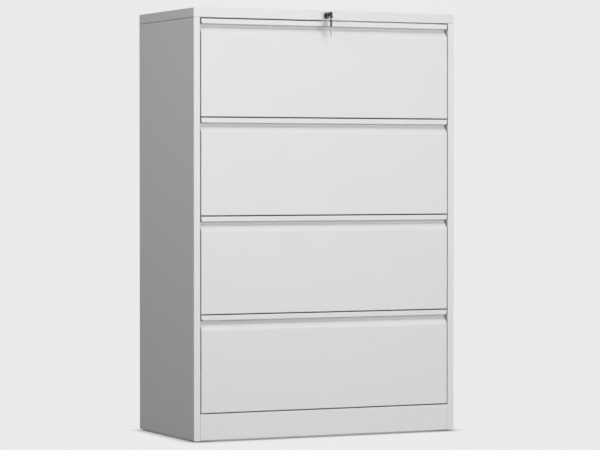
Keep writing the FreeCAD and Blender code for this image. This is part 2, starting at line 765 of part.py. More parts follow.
screws = []
for drawer in drawers:
    name = "drawer_%d_" % drawer
    save(name + "front", drawer_front(drawer))
    save(name + "liner", drawer_liner(drawer))
    save(name + "tray", drawer_tray(drawer))
    save(name + "back", drawer_back(drawer))
    save(name + "file_rails", file_rails(drawer))
    save(name + "catch", drawer_catch(drawer))
    save(name + "runner_inner", both_sides([at_runner(inner_member(), drawer)]))
    save("runner_middle_%d" % drawer,
         both_sides([at_runner(piece, drawer) for piece in [middle_member()] + ball_rows()]))
    save("runner_outer_%d" % drawer, both_sides([at_runner(outer_member(), drawer)]))
    screws += [runner_screw(y, drawer_bottom(drawer) + runner_rise) for y in screw_ys]
save("runner_screws", both_sides(screws))
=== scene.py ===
import math

import bmesh
import bpy
import numpy as np
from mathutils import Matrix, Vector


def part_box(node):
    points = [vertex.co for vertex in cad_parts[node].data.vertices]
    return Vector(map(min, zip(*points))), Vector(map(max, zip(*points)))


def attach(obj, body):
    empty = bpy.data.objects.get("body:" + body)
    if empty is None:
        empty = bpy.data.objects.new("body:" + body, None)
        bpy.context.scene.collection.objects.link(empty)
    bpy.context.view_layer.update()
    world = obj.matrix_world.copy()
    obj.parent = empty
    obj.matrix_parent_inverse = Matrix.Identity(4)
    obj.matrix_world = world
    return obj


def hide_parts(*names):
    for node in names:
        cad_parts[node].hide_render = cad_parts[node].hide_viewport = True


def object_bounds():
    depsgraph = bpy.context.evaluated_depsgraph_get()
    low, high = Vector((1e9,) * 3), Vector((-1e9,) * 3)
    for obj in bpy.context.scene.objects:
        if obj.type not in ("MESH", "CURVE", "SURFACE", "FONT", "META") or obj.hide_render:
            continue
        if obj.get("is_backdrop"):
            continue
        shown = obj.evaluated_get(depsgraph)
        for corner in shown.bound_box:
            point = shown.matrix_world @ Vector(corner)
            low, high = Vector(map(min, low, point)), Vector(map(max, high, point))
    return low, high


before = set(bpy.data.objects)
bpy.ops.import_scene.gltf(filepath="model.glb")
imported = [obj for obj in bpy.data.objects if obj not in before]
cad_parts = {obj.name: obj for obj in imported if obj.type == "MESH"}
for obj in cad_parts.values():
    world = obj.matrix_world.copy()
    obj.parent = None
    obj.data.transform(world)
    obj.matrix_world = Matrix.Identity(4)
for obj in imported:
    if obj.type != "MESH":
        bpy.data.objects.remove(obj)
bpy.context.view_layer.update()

mm = 0.001


# ==== Camera ================================================================================
# It stands to the left of the cabinet at about the height of its middle and looks slightly
# down. The long lens keeps the upright edges nearly parallel.
camera_heading = math.radians(24.99)
camera_dip = math.radians(1.16)
lens = bpy.data.cameras.new("camera")
lens.lens = 161.5
lens.sensor_width = 36.0
lens.clip_end = 200.0
camera = bpy.data.objects.new("camera", lens)
camera.location = (-3.628, -7.792, 0.832)
camera.rotation_euler = (math.pi / 2 - camera_dip, 0, -camera_heading)
bpy.context.scene.collection.objects.link(camera)
bpy.context.scene.camera = camera


# ==== Floor, backdrop and lights ============================================================
# A pale seamless sweep. Floor and backdrop glow with one tone and give no light, so they meet
# without a line. Painted contact shade darkens the floor's glow under the cabinet. Five soft boxes light it.
def linear(code):
    """A colour code such as "#d8d8d8" as linear light: each channel through the sRGB curve."""
    parts = [int(code[k:k + 2], 16) / 255 for k in (1, 3, 5)]
    return tuple(c / 12.92 if c <= 0.04045 else ((c + 0.055) / 1.055) ** 2.4 for c in parts) + (1.0,)


def add(material, kind, settings=None, **inputs):
    """Adds a node. A setting is a property of it; an input is a value, or another node's output."""
    made = material.node_tree.nodes.new(kind)
    for name, value in (settings or {}).items():
        setattr(made, name, value)
    for name, value in inputs.items():
        socket = made.inputs[int(name[1:]) if name[1:].isdigit() else name.replace("_", " ")]
        if isinstance(value, bpy.types.NodeSocket):
            material.node_tree.links.new(value, socket)
        else:
            socket.default_value = value
    return made


def empty_material(name):
    """A material with nothing in it but its output."""
    material = bpy.data.materials.new(name)
    material.use_nodes = True
    material.node_tree.nodes.clear()
    return material


def finished(material, shader):
    """Links the shader to the material's output."""
    add(material, "ShaderNodeOutputMaterial", Surface=shader)
    return material


def stage_disc(name, radius, rings, lift, steps=96):
    """Disc of the floor: rings of points round the origin at growing radii, closed by a face inside
    the smallest."""
    turn = np.linspace(0, 2 * np.pi, steps + 1)[:-1]
    spread = np.linspace(0, radius, rings + 1)[1:]
    points = np.zeros((rings, steps, 3))
    points[..., 0] = spread[:, None] * np.cos(turn)
    points[..., 1] = spread[:, None] * np.sin(turn)
    points[..., 2] = lift
    mesh = bpy.data.meshes.new(name)
    ring, step = np.meshgrid(np.arange(rings - 1), np.arange(steps), indexing="ij")
    a = ring * steps + step
    b = ring * steps + (step + 1) % steps
    faces = np.stack([a, b, b + steps, a + steps], -1).reshape(-1, 4)[:, ::-1].tolist()
    mesh.from_pydata(points.reshape(-1, 3).tolist(), [], faces + [list(range(steps))])
    made = bpy.data.objects.new(name, mesh)
    bpy.context.scene.collection.objects.link(made)
    return made


sweep_tone = "#ebebeb"
painted_shade_reach = 0.045
sweep = empty_material("pale_studio_sweep")
# Ambient occlusion darkens the floor's glow near the cabinet: a painted contact shade.
painted_contact_shade = add(sweep, "ShaderNodeAmbientOcclusion", {"samples": 8}, Color=linear(sweep_tone),
              Distance=painted_shade_reach)
sweep_glow = add(sweep, "ShaderNodeEmission", Color=painted_contact_shade.outputs["Color"], Strength=1.0)
finished(sweep, sweep_glow.outputs[0])
floor = stage_disc("floor", radius=40.0, rings=24, lift=0.0)
floor.data.materials.append(sweep)
floor.visible_diffuse = False
floor.visible_glossy = False
floor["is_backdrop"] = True

# The light that the floor throws back comes from a disc under it that the camera doesn't see.
ground = empty_material("floor_bounce")
finished(ground, add(ground, "ShaderNodeBsdfDiffuse", Color=linear("#a0a0a0")).outputs[0])
bounce = stage_disc("floor_bounce", radius=12.0, rings=12, lift=-1 * mm)
bounce.data.materials.append(ground)
bounce.visible_camera = False
bounce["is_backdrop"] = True

# The backdrop is a ball round everything, a little smaller than the floor.
sky = empty_material("pale_backdrop")
finished(sky, add(sky, "ShaderNodeEmission", Color=linear(sweep_tone), Strength=1.0).outputs[0])
backdrop_mesh = bpy.data.meshes.new("backdrop")
ball = bmesh.new()
bmesh.ops.create_uvsphere(ball, u_segments=48, v_segments=24, radius=39.0)
bmesh.ops.reverse_faces(ball, faces=ball.faces)
ball.to_mesh(backdrop_mesh)
ball.free()
backdrop = bpy.data.objects.new("backdrop", backdrop_mesh)
backdrop.data.materials.append(sky)
for ray in ("diffuse", "glossy", "transmission", "volume_scatter", "shadow"):
    setattr(backdrop, "visible_" + ray, False)
bpy.context.scene.collection.objects.link(backdrop)
backdrop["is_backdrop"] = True

world = bpy.data.worlds.new("room_light")
world.use_nodes = True
room = world.node_tree.nodes["Background"]
room.inputs["Color"].default_value = (1, 1, 1, 1)
room.inputs["Strength"].default_value = 0.37
bpy.context.scene.world = world


def soft_light(name, place, target, size, power):
    """Square soft box at a place, facing its target."""
    lamp = bpy.data.lights.new(name, "AREA")
    lamp.shape = "SQUARE"
    lamp.size = size
    lamp.energy = power
    made = bpy.data.objects.new(name, lamp)
    made.location = place
    way = np.array(target) - np.array(place)
    flat = math.hypot(way[0], way[1])
    made.rotation_euler = (math.pi / 2 + math.atan2(way[2], flat), 0, math.atan2(-way[0], way[1]))
    bpy.context.scene.collection.objects.link(made)
    return made


soft_light("key_light", (1.1, -6.0, 0.7), (0, 0, 0.7), size=4.0, power=280)
soft_light("top_light", (0.6, -4.6, 6.6), (0, -0.2, 1.0), size=2.4, power=138)
soft_light("side_light", (-3.2, -1.3, 2.7), (-0.45, 0, 1.1), size=1.6, power=30)
back_light = soft_light("back_light", (1.0, 5.0, 2.4), (0, 0.2, 0.8), size=2.4, power=230)
back_light.visible_glossy = False
soft_light("right_light", (4.2, 0.8, 2.4), (0.45, 0, 0.8), size=2.0, power=110)


# ==== Levelling feet ========================================================================
# Black moulded nylon feet, each a pad with a grip ring and a threaded stem that screws into the
# floor panel from below.
def grid_faces(rows, columns, start, close_rows, close_columns):
    """Quads of a grid of points numbered row by row; closing joins the last line to the first."""
    i = np.arange(rows if close_rows else rows - 1)[:, None]
    j = np.arange(columns if close_columns else columns - 1)[None, :]
    i2 = (i + 1) % rows
    j2 = (j + 1) % columns
    quads = np.stack([i * columns + j, i2 * columns + j, i2 * columns + j2, i * columns + j2], -1)
    return quads.reshape(-1, 4) + start


merge_gap = 0.002 * mm


def piece(name, grids, material, body, replaced=(), flats=(), thickness=0.0, crease=38):
    """One object from grids of points, each (points, close rows, close columns), and flat outlines.
    Points nearer than merge_gap are merged, faces are turned outwards, and an open sheet gets its
    thickness half on each side. Edges sharper than crease, in degrees, stay sharp."""
    points = []
    faces = []
    start = 0
    for block, close_rows, close_columns in grids:
        rows, columns = block.shape[:2]
        points.append(block.reshape(-1, 3))
        faces += grid_faces(rows, columns, start, close_rows, close_columns).tolist()
        start += rows * columns
    for outline in flats:
        points.append(np.asarray(outline))
        faces.append(list(range(start, start + len(outline))))
        start += len(outline)
    mesh = bpy.data.meshes.new(name)
    mesh.from_pydata(np.concatenate(points).tolist(), [], faces)
    shape = bmesh.new()
    shape.from_mesh(mesh)
    bmesh.ops.remove_doubles(shape, verts=shape.verts, dist=merge_gap)
    bmesh.ops.dissolve_degenerate(shape, edges=shape.edges, dist=merge_gap)
    bmesh.ops.recalc_face_normals(shape, faces=shape.faces)
    shape.to_mesh(mesh)
    shape.free()
    made = bpy.data.objects.new(name, mesh)
    bpy.context.scene.collection.objects.link(made)
    if thickness:
        wall = made.modifiers.new("sheet", "SOLIDIFY")
        wall.thickness = thickness
        wall.offset = 0.0
        wall.use_even_offset = True
        evaluated = made.evaluated_get(bpy.context.evaluated_depsgraph_get())
        solid = bpy.data.meshes.new_from_object(evaluated)
        made.modifiers.clear()
        made.data = solid
    made.data.shade_smooth()
    made.data.set_sharp_from_angle(angle=math.radians(crease))
    made.data.materials.clear()
    made.data.materials.append(material)
    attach(made, body)
    for node in replaced:
        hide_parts(node)
    return made


def turned(profile, place, steps=64, relief=None):
    """Surface of revolution: each profile point (distance along the axis, radius) goes round in steps.
    A relief adds to the radius as a function of distance and angle. place maps (across, up, along)."""
    along, radius = np.array(profile).T
    turn = np.linspace(0, 2 * np.pi, steps + 1)[:-1]
    reach = np.repeat(radius[:, None], steps, 1)
    if relief:
        reach = reach + relief(along[:, None], turn[None, :]) * (reach > 0)
    along = np.repeat(along[:, None], steps, 1)
    return np.stack(place(reach * np.cos(turn), reach * np.sin(turn), along), -1), False, True


def rounded(corners, radii, steps=6, margin=0.0):
    """Line of straight runs joined by arcs: points of each arc turn evenly about its centre. A margin
    adds a point on each run near its arcs, so that an arc's shading stays off the flat."""
    corners = [np.array(c, float) for c in corners]
    line = [corners[0]]
    for before, corner, after, radius in zip(corners, corners[1:], corners[2:], radii):
        a = (before - corner) / np.linalg.norm(before - corner)
        b = (after - corner) / np.linalg.norm(after - corner)
        turn = math.pi - math.acos(np.clip(a @ b, -1, 1))
        reach = radius * math.tan(turn / 2)
        centre = corner + (a + b) / np.linalg.norm(a + b) * radius / math.cos(turn / 2)
        spoke = corner + a * reach - centre
        sign = math.copysign(1, (-a)[0] * b[1] - (-a)[1] * b[0])
        angle = sign * np.linspace(0, turn, steps + 1)
        arc = np.stack([spoke[0] * np.cos(angle) - spoke[1] * np.sin(angle),
                        spoke[0] * np.sin(angle) + spoke[1] * np.cos(angle)], -1) + centre
        if margin:
            line.append(corner + a * (reach + margin))
        line.extend(arc)
        if margin:
            line.append(corner + b * (reach + margin))
    line.append(corners[-1])
    return np.array(line)


def moulded_plastic(name, colour, gloss):
    """Injection-moulded nylon or ABS: dyed through, with a fine spark-eroded grain from the mould.
    The eye sees a soft, slightly patchy sheen. The real grain of 0.1 mm is drawn at 0.5 mm."""
    material = empty_material(name)
    place = add(material, "ShaderNodeTexCoord").outputs["Object"]
    grain = add(material, "ShaderNodeTexNoise", Vector=place, Scale=1 / (0.5 * mm), Detail=2.0)
    patch = add(material, "ShaderNodeTexNoise", Vector=place, Scale=1 / (9 * mm), Detail=2.0)
    rough = add(material, "ShaderNodeMapRange", Value=patch.outputs["Fac"], To_Min=gloss - 0.05,
                To_Max=gloss + 0.07)
    bump = add(material, "ShaderNodeBump", Strength=0.35, Distance=0.05 * mm, Height=grain.outputs["Fac"])
    shade = add(material, "ShaderNodeBsdfPrincipled", Base_Color=linear(colour), IOR=1.5,
                Roughness=rough.outputs["Result"], Normal=bump.outputs["Normal"])
    return finished(material, shade.outputs[0])


foot_nylon = moulded_plastic("black_nylon", "#1d1d1e", 0.48)
pad_radius = 19 * mm
pad_height = 8 * mm
pad_edge = 1.5 * mm          # round of the pad's upper edge
pad_base_edge = 0.6 * mm     # and of its lower one
stem_radius = 5 * mm
stem_top = 48 * mm
stem_chamfer = 1 * mm
thread_pitch = 1.5 * mm
thread_depth = 0.9 * mm
grip_ribs = 36
grip_depth = 0.35 * mm
grip_reach = 0.36 * pad_height   # of the ribs above and below the middle of the pad
arc_margin = 0.4 * mm        # from a small arc to the next point on the flat
feet_low, feet_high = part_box("levelling_feet")


def grip_ring(along, turn):
    """Ribs round the pad's edge: a cosine of the angle, only over the middle of its height."""
    band = np.clip(1 - np.abs(along - pad_height / 2) / grip_reach, 0, 1) ** 0.5
    return -grip_depth * band * (0.5 + 0.5 * np.cos(turn * grip_ribs))


def screw_thread(along, turn):
    """Thread: a triangle wave of height less the share of a turn, once per pitch."""
    phase = (along / thread_pitch - turn / (2 * np.pi)) % 1
    return -thread_depth * np.abs(2 * phase - 1)


def levelling_foot(name, x, y):
    """Pad and stem as two surfaces of revolution about the upright line at (x, y). Rows of points on
    the pad's side carry the grip ring, and rows up the stem carry its thread."""
    def upright(across, up, along):
        return x + across, y + up, along

    outline = rounded([(0, 0), (0, pad_radius), (pad_height, pad_radius), (pad_height, stem_radius)],
                      [pad_base_edge, pad_edge], margin=arc_margin)
    levels = np.linspace(2 * pad_base_edge, pad_height - pad_edge - 0.5 * mm, 9)
    side_wall = np.stack([levels, np.full_like(levels, pad_radius)], -1)
    outline = np.insert(outline, np.argmax(outline[:, 0] > levels[0]), side_wall, axis=0)
    pad_line = np.concatenate([outline, [(pad_height, 0)]])
    stem_levels = np.linspace(pad_height - stem_chamfer, stem_top - stem_chamfer, 150)
    stem_line = [(stem_levels[0], 0)] + [(z, stem_radius) for z in stem_levels]
    stem_line += [(stem_top, stem_radius - stem_chamfer), (stem_top, 0)]
    piece(name, [turned(pad_line, upright, 144, grip_ring), turned(stem_line, upright, 32, screw_thread)],
          foot_nylon, "cabinet", ["levelling_feet"])


for foot_x, side in ((feet_low.x + pad_radius, "left"), (feet_high.x - pad_radius, "right")):
    for foot_y, end in ((feet_low.y + pad_radius, "front"), (feet_high.y - pad_radius, "rear")):
        levelling_foot("levelling_foot_%s_%s" % (end, side), foot_x, foot_y)


# ==== Side panels ===========================================================================
# One sheet each, folded into the front post, the side and the rear flange, and turned in at
# top and bottom. Powder-coated after folding, so every edge is soft.
def powder_coat(name, colour):
    """Polyester powder coat on steel, sprayed dry and baked: an even satin skin with orange peel.
    The eye sees a soft sheen whose gloss drifts a little over a hand's width. The real peel of
    1 to 2 mm is drawn at 2 mm."""
    material = empty_material(name)
    place = add(material, "ShaderNodeTexCoord").outputs["Object"]
    peel = add(material, "ShaderNodeTexNoise", Vector=place, Scale=1 / (2.0 * mm), Detail=1.5,
               Roughness=0.4)
    drift = add(material, "ShaderNodeTexNoise", Vector=place, Scale=1 / (90 * mm), Detail=3.0)
    speck = add(material, "ShaderNodeTexNoise", Vector=place, Scale=1 / (3.5 * mm), Detail=2.0)
    rough = add(material, "ShaderNodeMapRange", Value=drift.outputs["Fac"], To_Min=0.37, To_Max=0.47)
    light = linear(colour)
    dark = tuple(c * 0.985 for c in light[:3]) + (1.0,)
    tone = add(material, "ShaderNodeMix", {"data_type": "RGBA"}, _0=speck.outputs["Fac"], _6=light, _7=dark)
    bump = add(material, "ShaderNodeBump", Strength=0.22, Distance=0.04 * mm, Height=peel.outputs["Fac"])
    shade = add(material, "ShaderNodeBsdfPrincipled", Base_Color=tone.outputs[2], IOR=1.5,
                Roughness=rough.outputs["Result"], Normal=bump.outputs["Normal"])
    return finished(material, shade.outputs[0])


paint = powder_coat("light_grey_powder_coat", "#dcdcdb")
sheet = 1.0 * mm
half = sheet / 2             # folds are drawn along the middle of the sheet
bend = 1.5 * mm
post_width = 22 * mm
post_return = 20 * mm
rear_flange = 25 * mm
hem = 13 * mm
seam = 0.8 * mm              # the side's upper edge is dressed down by this, under the top panel
flat_margin = 2 * mm         # from a fold to the next point on the flat
row_margin = 8 * mm          # from the side's ends to the rows of points between them
slack_start = 20 * mm        # the side is slack this far from its front and rear folds,
slack_ramp = 60 * mm         # and takes this long to grow fully so
side_slack = 0.25 * mm
side_wave = (0.62, 1.9)
side_low, side_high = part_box("side_panel_left")
front_y = side_low.y
back_y = side_high.y
base_z = side_low.z
shoulder_z = side_high.z
half_width = -side_low.x
opening_x = half_width - post_width


def ripple(first, second, wave, size, shift):
    """Slack of a thin sheet: the product of two slow sines over its face, each with its own wave."""
    first_sine = np.sin(2 * np.pi * first / wave[0] + shift)
    second_sine = np.sin(2 * np.pi * second / wave[1] + shift)
    return size * first_sine * second_sine


def side_panel(sign):
    """Horizontal profile carried up from bottom to top. The top and bottom edges of the side itself
    curl in by a quarter circle, and the curl fades to nothing round the vertical corners. The flanges
    that the curls turn into are two flat strips."""
    inner = opening_x + half
    outer = half_width - half
    corners = [(inner, front_y + post_return), (inner, front_y + half), (outer, front_y + half),
               (outer, back_y - half), (half_width - rear_flange, back_y - half)]
    line = rounded(corners, [bend, bend, bend], 8, flat_margin)
    run = [(outer, y) for y in np.linspace(front_y + 30 * mm, back_y - 30 * mm, 26)]
    line = np.insert(line, np.argmax(line[:, 1] > run[0][1]), run, axis=0)
    curl = bend * np.clip((line[:, 0] - (outer - bend)) / bend, 0, 1) ** 2
    quarter = np.linspace(0, np.pi / 2, 6)
    rows = [(curl * (1 - np.cos(angle)), base_z + half + curl * (1 - np.sin(angle)))
            for angle in quarter[::-1]]
    levels = np.linspace(base_z + row_margin, shoulder_z - row_margin, 60)
    rows += [(curl * 0, np.full(len(line), z)) for z in levels]
    top_edge = shoulder_z - half - seam * curl / bend
    rows += [(curl * (1 - np.cos(angle)), top_edge - curl * (1 - np.sin(angle))) for angle in quarter]
    inset = np.array([row[0] for row in rows]).T
    height = np.array([row[1] for row in rows]).T
    height[curl == 0, 0] = base_z
    height[curl == 0, -1] = shoulder_z
    depth = np.repeat(line[:, 1:], len(rows), 1)
    from_front = np.clip((depth - front_y - slack_start) / slack_ramp, 0, 1)
    from_back = np.clip((back_y - slack_start - depth) / slack_ramp, 0, 1)
    slack = ripple(depth, height, side_wave, side_slack, 0.7) * from_front * from_back
    slack = slack * (curl[:, None] > bend * 0.99)
    across = np.repeat(line[:, :1], len(rows), 1) - inset - np.abs(slack)
    grids = [(np.stack([sign * across, depth, height], -1), False, False)]
    flange_x = sign * np.array([outer - bend, half_width - hem])[:, None]
    flange_y = np.linspace(front_y + sheet, back_y - sheet, 12)[None, :]
    for z in (base_z + half, shoulder_z - half - seam):
        grids.append((np.stack(np.broadcast_arrays(flange_x, flange_y, z), -1), False, False))
    return grids


for sign, side in ((-1, "left"), (1, "right")):
    piece("side_panel_%s_skin" % side, side_panel(sign), paint, "cabinet", ["side_panel_" + side],
          thickness=sheet)


# ==== Back panel, floor panel, uprights and header rail =====================================
# Flat and folded sheets of the casing, from the back that closes it to the uprights that carry the
# runners. They keep the frame's shapes and get the coat.
def coated(node, material):
    """Gives a frame piece its finish."""
    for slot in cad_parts[node].material_slots:
        slot.material = material


for node in ("back_panel floor_panel header_rail upright_front_left upright_front_right "
             "upright_rear_left upright_rear_right").split():
    coated(node, paint)


# ==== Plinth rail ===========================================================================
# Folded rail between the posts under the bottom drawer, set flush with them. A short hem turns
# back along its lower edge, and a deeper flange along its upper one.
plinth_low, plinth_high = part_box("plinth_rail")


def folded_along_x(corners, radii, reach):
    """Profile of (y, z) points with rounded bends, carried from -reach to reach."""
    line = rounded(corners, radii, margin=flat_margin)
    run = np.linspace(-reach, reach, 24)
    return np.stack(np.broadcast_arrays(run[None, :], line[:, :1], line[:, 1:]), -1), False, False


plinth_corners = [(plinth_low.y + hem, plinth_low.z + half), (plinth_low.y + half, plinth_low.z + half),
                  (plinth_low.y + half, plinth_high.z - half), (plinth_high.y, plinth_high.z - half)]
piece("plinth_rail_skin", [folded_along_x(plinth_corners, [bend, bend], plinth_high.x)], paint, "cabinet",
      ["plinth_rail"], thickness=sheet)


# ==== Top panel =============================================================================
# A pan turned upside down: its front apron is the header that holds the lock. All its outer
# edges are folded round, except the header's lower one, which is dressed square.
cap_low, cap_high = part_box("top_panel")
corner_round = 2 * mm


def rounded_rectangle(inset, level):
    """Ring of points at one level, anticlockwise: a quarter turn about each corner of the top panel's
    outline. An inset brings the sides in and takes as much off the corners' radius."""
    radius = max(corner_round - half - inset, 0.0)
    reach_x = cap_high.x - half - inset - radius
    front = cap_low.y + half + inset + radius
    back = cap_high.y - half - inset - radius
    centres = np.array([(reach_x, front), (reach_x, back), (-reach_x, back), (-reach_x, front)])
    angle = (np.arange(4)[:, None] - 1) * np.pi / 2 + np.linspace(0, np.pi / 2, 7)
    ring = centres[:, None] + radius * np.stack([np.cos(angle), np.sin(angle)], -1)
    return np.concatenate([ring.reshape(-1, 2), np.full((ring.size // 2, 1), level)], 1)


def top_pan():
    """Profile of (inset, height), with its two bends, carried round the rounded rectangle."""
    low = cap_low.z + half
    high = cap_high.z - half
    fold = rounded([(hem, low), (0, low), (0, high), (hem, high)], [bend, bend], margin=flat_margin)
    return np.stack([rounded_rectangle(inset, level) for inset, level in fold])


# The flat plate is the outline of the profile's last ring.
pan = top_pan()
piece("top_panel_skin", [(pan, False, True)], paint, "cabinet", ["top_panel"],
      flats=[pan[-1]], thickness=sheet)


# ==== Runners ===============================================================================
# Three-part ball-bearing runners of rolled steel strip, zinc plated bright, with their balls
# and cages. They keep the frame's shapes.
def zinc_plate(name, colour, gloss):
    """Bright zinc on rolled steel, passivated: a cool metal with a faint drawn grain along its
    length. The eye sees streaked highlights. Grain of 0.2 mm is drawn at 0.6 mm."""
    material = empty_material(name)
    place = add(material, "ShaderNodeTexCoord").outputs["Object"]
    drawn = add(material, "ShaderNodeMapping", Vector=place, Scale=(1.0, 0.03, 1.0))
    grain = add(material, "ShaderNodeTexNoise", Vector=drawn.outputs[0], Scale=1 / (0.6 * mm), Detail=3.0)
    bloom = add(material, "ShaderNodeTexNoise", Vector=place, Scale=1 / (14 * mm), Detail=4.0)
    rough = add(material, "ShaderNodeMapRange", Value=bloom.outputs["Fac"], To_Min=gloss - 0.06,
                To_Max=gloss + 0.12)
    bright = linear(colour)
    dull = tuple(c * 0.82 for c in bright[:3]) + (1.0,)
    tone = add(material, "ShaderNodeMix", {"data_type": "RGBA"}, _0=bloom.outputs["Fac"], _6=bright, _7=dull)
    bump = add(material, "ShaderNodeBump", Strength=0.25, Distance=0.03 * mm, Height=grain.outputs["Fac"])
    shade = add(material, "ShaderNodeBsdfPrincipled", Base_Color=tone.outputs[2], Metallic=1.0,
                Roughness=rough.outputs["Result"], Normal=bump.outputs["Normal"])
    return finished(material, shade.outputs[0])


zinc = zinc_plate("bright_zinc_plate", "#c3c7ca", 0.30)
numbers = (1, 2, 3, 4)
for number in numbers:
    for node in ("runner_outer_%d", "runner_middle_%d", "drawer_%d_runner_inner", "drawer_%d_catch"):
        coated(node % number, zinc)
for node in ("levelling_nuts", "runner_screws", "lock_nut", "lock_cam", "transfer_bar", "lock_bar"):
    coated(node, zinc)


# ==== Drawer trays ==========================================================================
# Folded trays with turned-in hems, their backs, and the bars that hanging files hook over. They
# keep the frame's shapes and get the coat.
for number in numbers:
    for node in ("drawer_%d_liner", "drawer_%d_tray", "drawer_%d_back", "drawer_%d_file_rails"):
        coated(node % number, paint)


# ==== Drawer fronts =========================================================================
# One sheet each, folded along its length: a band along the top, the recess under it that
# fingers pull on, the face, and the returns behind. Both ends are closed by welded cheeks.
lip_height = 15.5 * mm       # the band along the top
lip_corner = 7 * mm          # round of its lower corners
lip_return = 14 * mm         # its fold behind, from the top down
pull_depth = 18.5 * mm       # the upright wall at the back of the recess
pull_level = 17.5 * mm       # where that wall starts
pull_slope = 22 * mm         # and where it ends and slopes out to the face
pull_bottom = 43.5 * mm      # where the slope meets the face
pull_root = 2.5 * mm         # bends at the two edges of the wall
pull_soft = 14 * mm          # bend from the slope to the face
corner_past = 1 * mm         # points for the lower corners reach this far past them
face_ramp = 30 * mm          # length over which the face grows slack, from its upper and lower ends
front_slack = 0.22 * mm
front_wave = (0.71, 0.52)
cheek_sheet = 0.9 * mm


def front_profile(tall, deep):
    """Line of (depth, drop) with its bends: the fold behind, the top, the band, the recess, the face
    and the lower return. Extra points on the band and the recess's roof carry the rounded corners,
    and those on the face carry its slack."""
    corners = [(deep - half, lip_return), (deep - half, half), (half, half), (half, lip_height),
               (pull_depth, pull_level), (pull_depth, pull_slope), (half, pull_bottom),
               (half, tall - half), (deep, tall - half)]
    line = rounded(corners, [bend, bend, bend, pull_root, pull_root, pull_soft, bend], 8, arc_margin)
    band = np.linspace(lip_height - lip_corner - corner_past, lip_height - bend - 0.6 * mm, 12)
    cut = np.argmax((line[:, 1] > band[-1]) & (line[:, 0] < bend))
    line = np.insert(line, cut, np.stack([np.full_like(band, half), band], -1), axis=0)
    roof = np.linspace(0, 1, 12)[:, None] * ((lip_corner + corner_past) / pull_depth)
    roof = corners[3] + roof * (np.array(corners[4]) - corners[3])
    cut = np.argmax((line[:, 0] > half + bend) & (line[:, 1] > lip_height)) + 1
    line = np.insert(line, cut, roof[roof[:, 0] > line[cut - 1, 0]], axis=0)
    face = np.linspace(pull_bottom + 16 * mm, tall - 8 * mm, 22)
    cut = np.argmax(line[:, 1] > face[0])
    return np.insert(line, cut, np.stack([np.full_like(face, half), face], -1), axis=0)


def front_skin(number, low, high, line):
    """The profile carried across a drawer's front, whose box runs from low to high. Near the band's
    lower edge each end draws in along a quarter circle, which rounds the band's lower corners. The
    face is slack away from its edges, and each drawer's in its own way."""
    steps = np.linalg.norm(np.diff(line, axis=0), axis=1)
    travelled = np.concatenate([[0], np.cumsum(steps)])
    lip_edge = travelled[np.argmin(np.hypot(line[:, 0] - half, line[:, 1] - lip_height))]
    away = np.clip(lip_corner - np.abs(travelled - lip_edge), 0, lip_corner)
    ends = high.x - (lip_corner - np.sqrt(lip_corner ** 2 - away ** 2))
    share = np.concatenate([[-1, -0.994], np.linspace(-0.985, 0.985, 40), [0.994, 1]])
    across = ends[:, None] * share
    depth = np.repeat(line[:, :1], len(share), 1)
    drop = np.repeat(line[:, 1:], len(share), 1)
    from_pull = np.clip((drop - pull_bottom) / face_ramp, 0, 1)
    from_foot = np.clip((high.z - low.z - 4 * mm - drop) / face_ramp, 0, 1)
    from_ends = np.clip((1 - np.abs(share)) / 0.1, 0, 1)
    flat = from_pull * from_foot * (depth < 2 * mm) * from_ends
    depth = depth + np.abs(ripple(across, drop, front_wave, front_slack, number)) * flat
    return np.stack([across, low.y + depth, high.z - drop], -1)


for number in numbers:
    low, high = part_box("drawer_%d_front" % number)
    profile = front_profile(high.z - low.z, high.y - low.y)
    skin = front_skin(number, low, high, profile)
    piece("drawer_%d_front_skin" % number, [(skin, False, False)], paint, "drawer_%d" % number,
          ["drawer_%d_front" % number], thickness=sheet)
    face_line = profile[np.argmax(profile[:, 1] > pull_slope):]
    cheek_line = np.concatenate([[(high.y - low.y - sheet, face_line[0, 1])], face_line])
    cheeks = [np.stack([np.full(len(cheek_line), sign * (high.x - half)), low.y + cheek_line[:, 0],
                        high.z - cheek_line[:, 1]], -1) for sign in (-1, 1)]
    piece("drawer_%d_front_cheeks" % number, [], paint, "drawer_%d" % number,
          ["drawer_%d_front" % number], flats=cheeks, thickness=cheek_sheet)


# ==== Lock ==================================================================================
# Cam lock in the header: a black lacquered bezel on a threaded barrel, held by a nut behind, and a
# nickel plug, coloured darker and less glossy than the keys, with the keyway in its face.
def lacquer(name, colour, gloss):
    """Stoved black lacquer on brass, with a little dust under it: the eye sees a dark, fairly glossy
    skin with a faint unevenness. The dust is drawn at 1.2 mm."""
    material = empty_material(name)
    place = add(material, "ShaderNodeTexCoord").outputs["Object"]
    dust = add(material, "ShaderNodeTexNoise", Vector=place, Scale=1 / (1.2 * mm), Detail=2.0)
    rough = add(material, "ShaderNodeMapRange", Value=dust.outputs["Fac"], To_Min=gloss - 0.04,
                To_Max=gloss + 0.10)
    bump = add(material, "ShaderNodeBump", Strength=0.15, Distance=0.03 * mm, Height=dust.outputs["Fac"])
    shade = add(material, "ShaderNodeBsdfPrincipled", Base_Color=linear(colour), IOR=1.52,
                Roughness=rough.outputs["Result"], Normal=bump.outputs["Normal"])
    return finished(material, shade.outputs[0])


